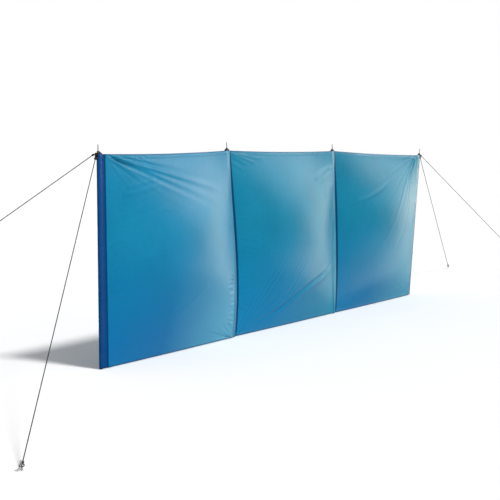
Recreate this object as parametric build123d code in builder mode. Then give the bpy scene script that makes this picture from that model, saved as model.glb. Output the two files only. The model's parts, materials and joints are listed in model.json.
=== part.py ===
from build123d import *
import math
import os

os.makedirs("parts", exist_ok=True)

# Driving dimensions, in millimetres. The origin is the foot of the left end pole, at ground level.
# +X runs along the wall, +Y to its back and +Z up.
POLE_R = 8.0
POLE_BORE_R = 7.0
CLOSED_FOOT = 30.0
TUBE_ABOVE_CLOTH = 14.0
SLEEVE_WRAP_R = 10.5
SLEEVE_BORE_R = 8.8
SLEEVE_FLAT = 6.0
SLEEVE_ROUND = 1.0
# Corners of a middle sleeve's wrap behind its pole, from right to left.
SLEEVE_REAR = [(8.0, 7.5), (3.5, 10.6), (-3.5, 10.6), (-8.0, 7.5)]
CLOTH_T = 3.0
CLOTH_GAP = 0.4
GROUND_GAP = 4.0
HEM_T = 4.0
BILLOW = 140.0
HEM_BILLOW = 6.0
# Height fractions of the cloth: the bottom hem ends at the first of these and the top hem starts
# at the last. Each bay is drawn with BAY_FOLDS chords along it, a millimetre off the true curve.
LEVELS = [0.018, 0.1, 0.22, 0.36, 0.5, 0.64, 0.78, 0.9, 0.978]
BAY_FOLDS = 12

PIN_R = 3.25
PIN_SHOULDER_R = 4.0
PIN_FLANGE_T = 3.0
PIN_SHOULDER_TOP = 23.0
PIN_TIP = 61.0
PIN_TIP_BEVEL = 1.5
PLUG_DEPTH = 12.0
PLUG_SIDES = 16

STRAP_T = 1.6
STRAP_W = 22.0
STRAP_UNDERSIDE = 17.6
STRAP_FLAT = 9.0
STRAP_FOOT = 1.5
EYELET_R = 4.2
EYELET_FLANGE_R = 8.0
EYELET_BARREL_R = 4.9
EYELET_FLANGE_T = 0.5
EYELET_SIDES = 20

LINE_R = 2.0
LINE_SIDES = 10
LINE_EYE_R = 11.0
KNOT_R = 5.0
KNOT_HALF = 6.0
KNOT_SIDES = 8
KNOT_TAPER = 15
EYE_SIDES = 12
LOOP_W = 14.0
LOOP_T = 1.6
LOOP_HEAD = Vector(32, -6)
LOOP_HEEL = Vector(27, -48)
LOOP_HIGH_EYE = 0.18
LOOP_LOW_EYE = 0.8
PEG_R = 3.2
PEG_SIDES = 8
HOOK_BENDS = 6
PEG_LEAN = math.radians(18)
PEG_SHAFT = 46.0
PEG_HOOK_R = 9.0
PEG_TAIL = 9.0
PEG_EYE_HEIGHT = 24.0
BELOW_GROUND = 60.0

# The foot of each pole on the ground, and the middle of the pole at the cloth's top edge.
# The end poles are pushed deeper than the middle ones, and the right one leans outwards.
FEET = [Vector(0, 0, 0), Vector(1495, 0, 0), Vector(2985, -18, 0), Vector(4500, 0, 0)]
TOPS = [Vector(0, 0, 1389), Vector(1469, 40, 1413), Vector(2978, 1, 1411), Vector(4567, -63, 1372)]

# How far the two seams of each sleeve stand from its pole, seen from above: (left, right).
# An end sleeve has one seam, and its other side wraps the pole.
END_SEAM = 62.0
MID_SEAM = 34.0
SHIFT_ALONG = (-20.0, 45.0, -10.0, 1.0)
SHIFT_FORWARD = (1.0, 34.0, 1.0, 1.0)

# The ground points of the guy pegs.
PEGS = {
    "left_front": Vector(-1874, -1226, 0),
    "left_back": Vector(-1760, 1040, 0),
    "right_front": Vector(6950, -390, 0),
    "right_back": Vector(7000, 690, 0),
}


def pole_axis(i):
    """Unit vector up the pole."""
    return (TOPS[i] - FEET[i]).normalized()


def on_pole(i, height):
    """Point of the pole's centre line at a height over the ground."""
    return FEET[i] + (TOPS[i] - FEET[i]) * (height / TOPS[i].Z)


def top_plane(i):
    """Plane square to the pole at the cloth's top edge, with local x along the wall."""
    return Plane(origin=TOPS[i], x_dir=Vector(1, 0, 0), z_dir=pole_axis(i))


def side_plane(i):
    """Upright plane through the pole, with local x along the wall and local y up the pole."""
    across = top_plane(i).x_dir
    return Plane(origin=TOPS[i], x_dir=across, z_dir=across.cross(pole_axis(i)))


def sleeve_shift(i, v):
    """How far a middle sleeve's centre stands off its pole at the height fraction v.

    A cubic curve of four control values: the bottom corner is drawn to the left, and the wind
    pulls the sleeve to the front low down. The right-hand sleeve does so half as much.
    """
    weights = ((1 - v) ** 3, 3 * v * (1 - v) ** 2, 3 * v**2 * (1 - v), v**3)
    along = sum(w * c for w, c in zip(weights, SHIFT_ALONG))
    forward = sum(w * c for w, c in zip(weights, SHIFT_FORWARD))
    strength = (0.0, 1.0, 0.5, 0.0)[i]
    return Vector(strength * along, -strength * forward, 0)


def seam_point(i, v, side):
    """Point of a sleeve's left (-1) or right (+1) seam at the height fraction v."""
    height = GROUND_GAP + v * (TOPS[i].Z - GROUND_GAP)
    centre = on_pole(i, height)
    if i in (0, 3):
        forward = 14 - 8 * v
        return centre + Vector(side * END_SEAM, -forward, 0)
    return centre + sleeve_shift(i, v) + Vector(side * MID_SEAM, 0, 0)


def billow(u, v):
    """Depth of a bay's bulge to the front, at the fraction u along it and v up it."""
    across = 4 * u * (1 - u)
    return across * (HEM_BILLOW + BILLOW * math.sin(math.pi * min(max(v, 0), 1)) ** 1.1)


def bay_section(i, v, thickness):
    """Closed outline of bay i's cloth on the sloping plane through both seams at fraction v."""
    left = seam_point(i, v, 1)
    right = seam_point(i + 1, v, -1)
    along = (right - left).normalized()
    back = Vector(0, 0, 1).cross(along).normalized()
    start = left + along * CLOTH_GAP
    length = (right - left).length - 2 * CLOTH_GAP
    plane = Plane(origin=start, x_dir=along, z_dir=along.cross(back))
    steps = [k / BAY_FOLDS for k in range(BAY_FOLDS + 1)]
    front = [(u * length, -billow(u, v) - thickness / 2) for u in steps]
    rear = [(u * length, -billow(u, v) + thickness / 2) for u in reversed(steps)]
    with BuildSketch(plane) as section:
        with BuildLine():
            Polyline(*front, *rear, close=True)
        make_face()
    return section.sketch


def end_sleeve_outline(i, v, side):
    """Outline of an end sleeve at fraction v: wrapped round the pole and drawn out to one seam."""
    height = GROUND_GAP + v * (TOPS[i].Z - GROUND_GAP)
    pole = on_pole(i, height)
    seam = seam_point(i, v, side)
    front = (pole.X, pole.Y - SLEEVE_WRAP_R)
    outer = (pole.X - side * SLEEVE_WRAP_R, pole.Y)
    rear = (pole.X, pole.Y + SLEEVE_WRAP_R)
    with BuildSketch(Plane.XY.offset(height)) as outline:
        with BuildLine():
            ThreePointArc(front, outer, rear)
            Polyline(rear, (seam.X, seam.Y + CLOTH_T / 2), (seam.X, seam.Y - CLOTH_T / 2), front)
        make_face()
    return outline.sketch


def middle_sleeve_outline(i, v):
    """Outline of a middle sleeve at fraction v: flat in front, wrapped round the pole behind."""
    height = GROUND_GAP + v * (TOPS[i].Z - GROUND_GAP)
    pole = on_pole(i, height)
    left = seam_point(i, v, -1)
    right = seam_point(i, v, 1)
    front = min(pole.Y - SLEEVE_WRAP_R, left.Y - CLOTH_T / 2 - SLEEVE_ROUND)
    behind = [(pole.X + x, pole.Y + y) for x, y in SLEEVE_REAR]
    with BuildSketch(Plane.XY.offset(height)) as outline:
        with BuildLine():
            Polyline(
                (left.X, left.Y - CLOTH_T / 2),
                (pole.X - SLEEVE_FLAT, front),
                (pole.X + SLEEVE_FLAT, front),
                (right.X, right.Y - CLOTH_T / 2),
                (right.X, right.Y + CLOTH_T / 2),
                *behind,
                (left.X, left.Y + CLOTH_T / 2),
                close=True,
            )
        make_face()
    return outline.sketch


def save(builder, label):
    """Label a finished piece and write it."""
    builder.part.label = label
    export_step(builder.part, f"parts/{label}.step")


# Poles: steel tubes cut flat at the ground, closed where the driven point begins.
for i in range(4):
    with BuildPart() as pole_tube:
        length = (TOPS[i] - FEET[i]).length
        buried = FEET[i] - pole_axis(i) * BELOW_GROUND
        with BuildSketch(Plane(origin=buried, z_dir=pole_axis(i))):
            Circle(POLE_R)
        extrude(amount=BELOW_GROUND + length + TUBE_ABOVE_CLOTH)
        bore_start = FEET[i] + pole_axis(i) * CLOSED_FOOT
        with BuildSketch(Plane(origin=bore_start, z_dir=pole_axis(i))):
            Circle(POLE_BORE_R)
        extrude(amount=length, mode=Mode.SUBTRACT)
        split(bisect_by=Plane.XY, keep=Keep.TOP)
    save(pole_tube, f"pole_tube_{i + 1}")

# Top pins: a many-sided plug in the tube's bore with a flange on its end, a shoulder and the bare pin.
for i in range(4):
    with BuildPart() as top_pin:
        with BuildSketch(top_plane(i).offset(-PLUG_DEPTH)):
            RegularPolygon(POLE_BORE_R - 0.1, PLUG_SIDES)
        extrude(amount=PLUG_DEPTH + TUBE_ABOVE_CLOTH)
        with BuildSketch(top_plane(i).offset(TUBE_ABOVE_CLOTH)):
            RegularPolygon(POLE_R, PLUG_SIDES)
        extrude(amount=PIN_FLANGE_T)
        with BuildSketch(top_plane(i).offset(TUBE_ABOVE_CLOTH + PIN_FLANGE_T)):
            RegularPolygon(PIN_SHOULDER_R, PLUG_SIDES)
        extrude(amount=PIN_SHOULDER_TOP - TUBE_ABOVE_CLOTH - PIN_FLANGE_T)
        with BuildSketch(top_plane(i).offset(PIN_SHOULDER_TOP)):
            Circle(PIN_R)
        extrude(amount=PIN_TIP - PIN_SHOULDER_TOP)
        chamfer(top_pin.edges().sort_by(Axis.Z)[-1], PIN_TIP_BEVEL)
    save(top_pin, f"top_pin_{i + 1}")

# Top straps: webbing laid over each pole top, pierced for the eyelet.
for i in range(4):
    inner = {0: 1, 3: -1}.get(i, 0)
    reach_left = 41 if inner == -1 else (15 if inner == 1 else 35)
    reach_right = 41 if inner == 1 else (15 if inner == -1 else 35)
    with BuildPart() as top_strap:
        with BuildSketch(side_plane(i)):
            with BuildLine():
                Polyline(
                    (-reach_left, STRAP_FOOT),
                    (-STRAP_FLAT, STRAP_UNDERSIDE),
                    (STRAP_FLAT, STRAP_UNDERSIDE),
                    (reach_right, STRAP_FOOT),
                    (reach_right + STRAP_T * 1.2, STRAP_FOOT),
                    (STRAP_FLAT + STRAP_T * 0.4, STRAP_UNDERSIDE + STRAP_T),
                    (-STRAP_FLAT - STRAP_T * 0.4, STRAP_UNDERSIDE + STRAP_T),
                    (-reach_left - STRAP_T * 1.2, STRAP_FOOT),
                    close=True,
                )
            make_face()
        extrude(amount=STRAP_W / 2, both=True)
        with BuildSketch(top_plane(i).offset(STRAP_UNDERSIDE - 1)):
            RegularPolygon(EYELET_BARREL_R, EYELET_SIDES)
        extrude(amount=STRAP_T + 2, mode=Mode.SUBTRACT)
    save(top_strap, f"top_strap_{i + 1}")

# Eyelets: a flanged ring in each strap, loose on the pin's shoulder.
for i in range(4):
    with BuildPart() as eyelet:
        low = STRAP_UNDERSIDE - EYELET_FLANGE_T
        high = STRAP_UNDERSIDE + STRAP_T
        for height in (low, high):
            with BuildSketch(top_plane(i).offset(height)):
                RegularPolygon(EYELET_FLANGE_R, EYELET_SIDES)
                RegularPolygon(EYELET_R, EYELET_SIDES, mode=Mode.SUBTRACT)
            extrude(amount=EYELET_FLANGE_T)
        with BuildSketch(top_plane(i).offset(STRAP_UNDERSIDE)):
            RegularPolygon(EYELET_BARREL_R, EYELET_SIDES)
            RegularPolygon(EYELET_R, EYELET_SIDES, mode=Mode.SUBTRACT)
        extrude(amount=STRAP_T)
    save(eyelet, f"eyelet_{i + 1}")

# Sleeves: cloth pockets lofted along each pole, bored to clear it.
for i in range(4):
    with BuildPart() as sleeve:
        if i in (0, 3):
            loft([end_sleeve_outline(i, v, 1 if i == 0 else -1) for v in (0, 1)], ruled=True)
        else:
            loft([middle_sleeve_outline(i, v) for v in (0, *LEVELS, 1)], ruled=True)
        with BuildSketch(Plane(origin=FEET[i] - pole_axis(i) * BELOW_GROUND, z_dir=pole_axis(i))):
            Circle(SLEEVE_BORE_R)
        extrude(amount=2 * TOPS[i].Z, mode=Mode.SUBTRACT)
    save(sleeve, f"sleeve_{i + 1}")

# Bays: the billowed cloth between two sleeves, and the folded hems along its edges.
for i in range(3):
    with BuildPart() as panel:
        loft([bay_section(i, v, CLOTH_T) for v in LEVELS], ruled=True)
    save(panel, f"panel_{i + 1}")
    with BuildPart() as bottom_hem:
        loft([bay_section(i, v, HEM_T) for v in (0, LEVELS[0])], ruled=True)
    save(bottom_hem, f"bottom_hem_{i + 1}")
    with BuildPart() as top_hem:
        loft([bay_section(i, v, HEM_T) for v in (LEVELS[-1], 1)], ruled=True)
    save(top_hem, f"top_hem_{i + 1}")

# Corner loops: webbing loops sewn on the outer side of the end poles, where the guy lines tie on.
for i, out, label in ((0, -1, "left"), (3, 1, "right")):
    with BuildPart() as corner_loop:
        near = SLEEVE_WRAP_R + 0.3
        with BuildSketch(side_plane(i)):
            with BuildLine():
                Polyline(
                    (out * near, -4),
                    (out * LOOP_HEAD.X, LOOP_HEAD.Y),
                    (out * LOOP_HEEL.X, LOOP_HEEL.Y),
                    (out * near, -52),
                    close=True,
                )
            make_face()
            with BuildLine():
                Polyline(
                    (out * (near + LOOP_T), -4 - LOOP_T * 1.2),
                    (out * (LOOP_HEAD.X - LOOP_T), LOOP_HEAD.Y - LOOP_T * 1.2),
                    (out * (LOOP_HEEL.X - LOOP_T), LOOP_HEEL.Y + LOOP_T),
                    (out * (near + LOOP_T), -52 + LOOP_T * 1.4),
                    close=True,
                )
            make_face(mode=Mode.SUBTRACT)
        extrude(amount=LOOP_W / 2, both=True)
    save(corner_loop, f"corner_loop_{label}")


def peg_up(point, pole):
    """Unit vector up a peg's shaft: it leans away from its pole."""
    away = (point - FEET[pole]).normalized()
    return (away * math.sin(PEG_LEAN) + Vector(0, 0, math.cos(PEG_LEAN))).normalized()


def eye_plane(centre, through, line):
    """Plane of an eye round a band or shaft, with local x pointing away from its line."""
    across = (line - through * line.dot(through)).normalized()
    return Plane(origin=centre, x_dir=across * -1, z_dir=through)


# Guy lines: taut cord with a knotted eye at the loop and another round the peg's shaft.
# Guy pegs: bent round wire, cut flat at the ground.
for name, peg in PEGS.items():
    pole, out = (0, -1) if name.startswith("left") else (3, 1)
    side = side_plane(pole)
    along_loop = LOOP_HIGH_EYE if name in ("left_back", "right_front") else LOOP_LOW_EYE
    tie = LOOP_HEAD + (LOOP_HEEL - LOOP_HEAD) * along_loop
    upper = side.from_local_coords((out * (tie.X - LOOP_T / 2), tie.Y, 0))
    head = side.from_local_coords((out * LOOP_HEAD.X, LOOP_HEAD.Y, 0))
    heel = side.from_local_coords((out * LOOP_HEEL.X, LOOP_HEEL.Y, 0))
    shaft = peg_up(peg, pole)
    lower = peg + shaft * PEG_EYE_HEIGHT
    upper_eye = eye_plane(upper, (head - heel).normalized(), (lower - upper).normalized())
    lower_eye = eye_plane(lower, shaft, (upper - lower).normalized())
    start = upper - upper_eye.x_dir * LINE_EYE_R
    end = lower - lower_eye.x_dir * LINE_EYE_R
    pull = (end - start).normalized()
    with BuildPart() as guy_line:
        with BuildSketch(Plane(origin=start, z_dir=pull)):
            RegularPolygon(LINE_R, LINE_SIDES)
        extrude(amount=(end - start).length)
        with BuildSketch(Plane(origin=start, z_dir=pull), Plane(origin=end, z_dir=pull)):
            RegularPolygon(KNOT_R, KNOT_SIDES)
        extrude(amount=KNOT_HALF, both=True, taper=KNOT_TAPER)
        with BuildSketch(upper_eye, lower_eye):
            RegularPolygon(LINE_EYE_R + LINE_R, EYE_SIDES)
            RegularPolygon(LINE_EYE_R - LINE_R, EYE_SIDES, mode=Mode.SUBTRACT)
        extrude(amount=LINE_R * 0.9, both=True)
    save(guy_line, f"guy_line_{name}")

    away = (peg - FEET[pole]).normalized()
    with BuildPart() as guy_peg:
        upright = Plane(origin=peg, x_dir=away, z_dir=away.cross(Vector(0, 0, 1)))
        lean = Vector(math.sin(PEG_LEAN), math.cos(PEG_LEAN))
        level = Vector(math.cos(PEG_LEAN), -math.sin(PEG_LEAN))
        bend = lean * PEG_SHAFT + level * PEG_HOOK_R
        route = [lean * -BELOW_GROUND]
        for k in range(HOOK_BENDS + 1):
            angle = math.pi * (1 - k / HOOK_BENDS)
            route.append(bend + (level * math.cos(angle) + lean * math.sin(angle)) * PEG_HOOK_R)
        route.append(route[-1] - lean * PEG_TAIL)
        with BuildLine(upright) as wire:
            Polyline(*((p.X, p.Y) for p in route))
        with BuildSketch(Plane(origin=wire.line @ 0, z_dir=wire.line % 0)):
            RegularPolygon(PEG_R, PEG_SIDES)
        sweep(transition=Transition.RIGHT)
        split(bisect_by=Plane.XY, keep=Keep.TOP)
    save(guy_peg, f"guy_peg_{name}")
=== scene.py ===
import json
import math

import bpy
import numpy as np
from bpy.props import FloatProperty, FloatVectorProperty, IntProperty, PointerProperty
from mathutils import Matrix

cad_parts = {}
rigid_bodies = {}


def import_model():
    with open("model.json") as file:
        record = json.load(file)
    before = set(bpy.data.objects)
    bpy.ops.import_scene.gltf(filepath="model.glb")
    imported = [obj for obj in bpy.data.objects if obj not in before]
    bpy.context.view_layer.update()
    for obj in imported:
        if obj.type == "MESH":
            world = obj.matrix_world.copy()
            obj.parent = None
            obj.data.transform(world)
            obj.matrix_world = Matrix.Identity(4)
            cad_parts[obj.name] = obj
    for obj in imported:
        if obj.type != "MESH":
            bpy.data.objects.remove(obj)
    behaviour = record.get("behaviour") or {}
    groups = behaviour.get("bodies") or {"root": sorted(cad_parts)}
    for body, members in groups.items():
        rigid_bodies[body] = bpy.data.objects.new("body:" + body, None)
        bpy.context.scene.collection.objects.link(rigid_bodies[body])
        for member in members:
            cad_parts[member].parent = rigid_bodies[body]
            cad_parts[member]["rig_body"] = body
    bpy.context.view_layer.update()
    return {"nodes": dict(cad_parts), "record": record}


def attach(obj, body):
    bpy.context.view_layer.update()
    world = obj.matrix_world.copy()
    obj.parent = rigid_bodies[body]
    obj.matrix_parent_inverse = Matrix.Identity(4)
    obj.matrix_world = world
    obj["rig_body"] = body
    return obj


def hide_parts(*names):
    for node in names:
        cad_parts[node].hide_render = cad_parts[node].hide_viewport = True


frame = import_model()

bl_info = {
    "name": "Beach windbreak",
    "version": (1, 0, 0),
    "blender": (4, 5, 0),
    "location": "3D View > Sidebar > Windbreak",
    "description": "Cloth wall in three bays on four steel poles, with two taut guy lines at each end",
    "category": "Add Mesh",
}

# Metres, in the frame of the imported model: +X along the wall, +Y to its back, +Z up.
MOUNTS = {mount["name"]: mount for mount in frame["record"]["mounts"]}
FEET = np.array([MOUNTS[f"pole_{n}_foot"]["pos_m"] for n in range(1, 5)])
AXES = np.array([MOUNTS[f"top_pin_{n}"]["axis"] for n in range(1, 5)])
PIN_MIDDLE = 0.04125  # from a pole's top to the middle of its pin
TOPS = np.array([MOUNTS[f"top_pin_{n}"]["pos_m"] for n in range(1, 5)]) - PIN_MIDDLE * AXES
PEG_NAMES = ("left_front", "left_back", "right_front", "right_back")
PEG_POINTS = {name: np.array(MOUNTS[f"peg_{name}_foot"]["pos_m"]) for name in PEG_NAMES}

UP = np.array([0.0, 0.0, 1.0])
ALONG = np.array([1.0, 0.0, 0.0])
GROUND_GAP = 0.004  # under the cloth
END_SEAM = 0.062  # from an end pole to its pocket's seam
MIDDLE_SEAM = 0.034  # from a middle pole to both seams of its pocket
HEM_LOW, HEM_HIGH = 0.018, 0.978  # where the bottom hem ends and the top hem starts, as shares of the height
LEAST_BILLOW = 0.006  # at the top and bottom edges of a bay
PEG_LEAN = math.radians(18)
EYE_RADIUS = 0.011  # of the eyes at the guy lines' ends

# The corner loop's four corners, the straps' reach to the left and right of their poles, and the
# turned profiles of the pin and the eyelet as (radius, height), all from the pole's top.
LOOP_CORNERS = np.array([(0.0095, 0.010), (0.026, 0.006), (0.021, -0.032), (0.0105, -0.040)])
STRAP_REACH = ((0.015, 0.041), (0.035, 0.035), (0.035, 0.035), (0.041, 0.015))
PIN_PROFILE = [
    (0.0001, -0.012), (0.0066, -0.012), (0.0069, -0.0116), (0.0069, 0.014), (0.0078, 0.014), (0.008, 0.0142),
    (0.008, 0.0168), (0.0078, 0.017), (0.0042, 0.017), (0.004, 0.0172), (0.004, 0.0226), (0.0037, 0.023),
    (0.0033, 0.0232), (0.00325, 0.0236), (0.00325, 0.0592), (0.0030, 0.0602), (0.0023, 0.0608),
    (0.0012, 0.061), (0.0001, 0.061)]
EYELET_PROFILE = np.array([
    (0.0042, 0.0168), (0.0048, 0.0171), (0.0074, 0.0171), (0.0079, 0.0173), (0.0078, 0.0176), (0.0050, 0.0178),
    (0.0050, 0.0191), (0.0078, 0.0193), (0.0079, 0.0196), (0.0074, 0.0199), (0.0048, 0.0201), (0.0042, 0.0197)])

# The cloth's finish by bay: tone as factors of red, green and blue, gloss, the lower half's painted shading
# (green and blue of the painted shade on its left, and the strength of the painted pale sheen on its right), and the
# width of the felled seam, which is darkened as painted shade.
BAY_TONES = ((1.0, 1.0, 1.0), (1.0, 0.97, 0.90), (1.0, 0.92, 0.85))
BAY_SHINES = (0.052, 0.040, 0.029)
BAY_LOWER_PAINTED_SHADING = ((0.72, 1.0, 1.0), (0.97, 1.22, 0.1), (0.86, 1.16, 0.5))
# Widths of the felled seams, which are darkened as painted shade.
BAY_SEAM_SHADES = (0.0, 0.022, 0.024)
TOP_SEAM_SHADES = (0.0, 0.011, 0.012)
# Dark colour for doubled cloth, also used as painted shade on seams, pocket edges and stitch puckers.
DOUBLED_AND_SHADED = (0.0, 0.058, 0.165, 1)
DOUBLED_GLOW = (0.0, 0.03, 0.10, 1)
# Pale colour painted on the bays' lower right as a sheen.
PAINTED_PALE_SHEEN = (0.12, 0.43, 0.60, 1)
THREAD_BLUE = (0.01, 0.10, 0.20, 1)
DUST = (0.55, 0.62, 0.66, 1)
FLUFF = (0.16, 0.15, 0.14, 1)


# ---------------------------------------------------------------- shapes


def unit(vectors):
    """Vectors divided by their own length."""
    return vectors / np.linalg.norm(vectors, axis=-1, keepdims=True)


def distance_along(points):
    """Distance run along a line of points, from nought at its start."""
    return np.concatenate([[0], np.cumsum(np.linalg.norm(np.diff(points, axis=0), axis=-1))])


def eased(share):
    """A share held between 0 and 1, with a soft start and end: s^2 (3 - 2s)."""
    share = np.clip(share, 0, 1)
    return share * share * (3 - 2 * share)


class Shell:
    """Collects grids of points into one mesh, with a UV map in metres."""

    def __init__(self):
        self.points, self.faces, self.corners, self.count = [], [], [], 0

    def grid(self, points, uvs, closed=False, capped=False):
        """Adds rows x columns of points joined by four-sided faces.

        Columns run anticlockwise and rows away from the start, so that faces point outwards.
        A closed grid joins its last column to its first, and needs one more column of UVs.
        """
        rows, columns = points.shape[:2]
        span = columns if closed else columns - 1
        r, c = np.meshgrid(np.arange(rows - 1), np.arange(span), indexing="ij")
        n = (c + 1) % columns
        quads = np.stack([r * columns + c, r * columns + n, (r + 1) * columns + n, (r + 1) * columns + c], -1)
        corners = np.stack([uvs[r, c], uvs[r, c + 1], uvs[r + 1, c + 1], uvs[r + 1, c]], -2)
        self.faces += (quads.reshape(-1, 4) + self.count).tolist()
        self.corners.append(corners.reshape(-1, 2))
        if capped:
            first = np.arange(columns)[::-1] + self.count
            last = np.arange(columns) + (rows - 1) * columns + self.count
            self.faces += [first.tolist(), last.tolist()]
            self.corners += [uvs[0, :columns][::-1], uvs[-1, :columns]]
        self.points.append(points.reshape(-1, 3))
        self.count += rows * columns
        return self

    def swept(self, points, path, section, capped=True):
        """Adds the rows of a profile carried along a path, closed round the profile."""
        return self.grid(points, path_uv(path, section), closed=True, capped=capped)

    def piece(self, name, material):
        """Makes the mesh object, smooth shaded, riding on the wall's one body."""
        mesh = bpy.data.meshes.new(name)
        mesh.from_pydata(np.concatenate(self.points).tolist(), [], self.faces)
        layer = mesh.uv_layers.new(name="cloth_metres")
        layer.data.foreach_set("uv", np.concatenate(self.corners).astype(np.float32).ravel())
        mesh.polygons.foreach_set("use_smooth", np.ones(len(mesh.polygons), dtype=bool))
        mesh.materials.append(material)
        mesh.update()
        made = bpy.data.objects.new(name, mesh)
        bpy.context.scene.collection.objects.link(made)
        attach(made, "root")
        return made


def sweep(path, reference, section, scale=None):
    """A profile carried along a path.

    Point = path + (reference x tangent) * section's first value + its square * the second, both
    times the scale at that place. Returns rows along the path by columns round the profile.
    """
    tangent = unit(np.gradient(path, axis=0))
    across = unit(np.cross(np.broadcast_to(reference, tangent.shape), tangent))
    lift = np.cross(tangent, across)
    scale = np.ones(len(path)) if scale is None else scale
    sized = section[None] * scale[:, None, None] if section.ndim == 2 else section * scale[:, None, None]
    return path[:, None] + across[:, None] * sized[..., :1] + lift[:, None] * sized[..., 1:]


def path_uv(path, section):
    """UVs in metres: along the path, and round the profile."""
    around = distance_along(np.vstack([section, section[:1]]))
    return np.stack(np.broadcast_arrays(distance_along(path)[:, None], around[None]), -1)


def circle(radius, sides):
    """Points of a circle, anticlockwise."""
    angle = np.arange(sides) * 2 * np.pi / sides
    return radius * np.stack([np.cos(angle), np.sin(angle)], -1)


def slab(width, thickness, steps=12):
    """A flat band's profile with rounded edges: a superellipse of the sixth power."""
    ring = circle(1.0, 4 * steps)
    return np.sign(ring) * np.abs(ring) ** (1 / 3) * [width / 2, thickness / 2]


def rounded(points, rounds=3, closed=False):
    """Corner cutting: each round puts two points on every side, at a quarter and three quarters."""
    points = np.asarray(points, float)
    for _ in range(rounds):
        after = np.roll(points, -1, axis=0) if closed else points[1:]
        before = points if closed else points[:-1]
        cut = np.stack([before * 0.75 + after * 0.25, before * 0.25 + after * 0.75], 1).reshape(-1, points.shape[1])
        points = cut if closed else np.vstack([points[:1], cut, points[-1:]])
    return points


def around_axis(axis, angle):
    """Directions at these angles round an axis, square to it."""
    side = unit(np.cross(axis, [0.3, 1.0, 0.1]))
    return side * np.cos(angle)[:, None] + np.cross(axis, side) * np.sin(angle)[:, None]


def turned(shell, profile, centre, axis, sides=40):
    """A profile of (radius, height) points turned round an axis.

    Point = centre + axis * height + radius * (cos, sin) in the plane square to the axis.
    """
    rim = around_axis(axis, np.arange(sides) * 2 * np.pi / sides)
    profile = np.asarray(profile, float)
    points = centre + rim[None] * profile[:, None, :1] + axis * profile[:, None, 1:]
    around = np.arange(sides + 1) / sides * 2 * np.pi * profile[:, :1].max()
    uvs = np.stack(np.broadcast_arrays(around[None], distance_along(profile)[:, None]), -1)
    return shell.grid(points, uvs, closed=True, capped=True)


# ---------------------------------------------------------------- cloth


def pole_at(i, height):
    """Pole i's centre line at these heights over the ground."""
    return FEET[i] + (TOPS[i] - FEET[i]) * (height / TOPS[i][2])[..., None]


def level_side(i):
    """The direction along the wall, square to pole i."""
    return unit(ALONG - AXES[i] * (ALONG @ AXES[i]))


def pocket_shift(i, v):
    """How far a middle pocket's centre stands off its pole: a cubic of four control values.

    Its foot is drawn to the left, and the wind pulls it forward low down. Pocket 3 does so half
    as much as pocket 2, and the end pockets not at all.
    """
    strength = (0.0, 1.0, 0.5, 0.0)[i]
    weights = ((1 - v) ** 3, 3 * v * (1 - v) ** 2, 3 * v**2 * (1 - v), v**3)
    along = sum(w * c for w, c in zip(weights, (-0.020, 0.045, -0.010, 0.001)))
    forward = sum(w * c for w, c in zip(weights, (0.001, 0.034, 0.001, 0.001)))
    return strength * along, -strength * forward


def front_lead(i, v):
    """How far a pocket's front layer starts forward of its left seam.

    Pockets 2 and 4 have it all the way up and most at half height, pocket 3 gains it between 0.5
    and 0.85 of its height, and pocket 1 has none.
    """
    if i == 2:
        return 0.002 + 0.018 * eased((v - 0.5) / 0.35)
    least, more = ((0.0, 0.0), (0.018, 0.012), (0.0, 0.0), (0.012, 0.010))[i]
    return least + more * np.sin(np.pi * np.clip(v, 0, 1))


def cloth_height(i, v):
    """Height over the ground at the fraction v of the cloth along pole i."""
    return GROUND_GAP + v * (TOPS[i][2] - GROUND_GAP)


def seam_at(i, v, side):
    """Pocket i's left (-1) or right (+1) seam at the fractions v of its height."""
    centre = pole_at(i, cloth_height(i, v))
    if i in (0, 3):
        return centre + np.stack([side * END_SEAM + 0 * v, 0.008 * v - 0.014, 0 * v], -1)
    along, back = pocket_shift(i, v)
    return centre + np.stack([along + side * MIDDLE_SEAM, back, 0 * v], -1)


def fan(x, z, corner, folds):
    """Tension folds that spread from a corner.

    Each fold is (angle, length, width, depth). Height = depth * cos(pi * off / w) * exp(-(off / w)^2)
    * rise and fade along it, where off is the distance from its line, and w grows with the
    distance from the corner.
    """
    total = np.zeros_like(x)
    for angle, length, width, depth in folds:
        a = math.radians(angle)
        along = (x - corner[0]) * math.cos(a) + (z - corner[1]) * math.sin(a)
        off = (z - corner[1]) * math.cos(a) - (x - corner[0]) * math.sin(a)
        w = width * (0.35 + 0.65 * np.clip(along / length, 0, 1.2))
        fade = np.clip(along / (0.12 * length), 0, 1) * np.exp(-((np.clip(along, 0, None) / length) ** 2) * 1.6)
        total += depth * np.cos(np.pi * off / w) * np.exp(-((off / w) ** 2)) * fade * (along > 0)
    return total


def fold(x, z, route, width, depth, lean=0.0):
    """A crease along a route of (x, z) points.

    Height = depth * exp(-(d / width)^2) * fade at both ends, where d is the distance from the
    route. With lean, the lower side of the crease is wider than the upper one.
    """
    route = rounded(route, 2)
    nearest = np.full(x.shape, 1e9)
    place = np.zeros_like(x)
    side = np.zeros_like(x)
    for k in range(len(route) - 1):
        start, run = route[k], route[k + 1] - route[k]
        t = np.clip(((x - start[0]) * run[0] + (z - start[1]) * run[1]) / (run @ run), 0, 1)
        dx, dz = x - start[0] - t * run[0], z - start[1] - t * run[1]
        distance = np.hypot(dx, dz)
        closer = distance < nearest
        nearest = np.where(closer, distance, nearest)
        place = np.where(closer, (k + t) / (len(route) - 1), place)
        side = np.where(closer, np.sign(run[0] * dz - run[1] * dx), side)
    w = width * (1 + lean * (side < 0))
    fade = np.clip(place / 0.35, 0, 1) * np.clip((1 - place) / 0.35, 0, 1)
    return depth * np.exp(-((nearest / w) ** 2)) * eased(fade)


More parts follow.
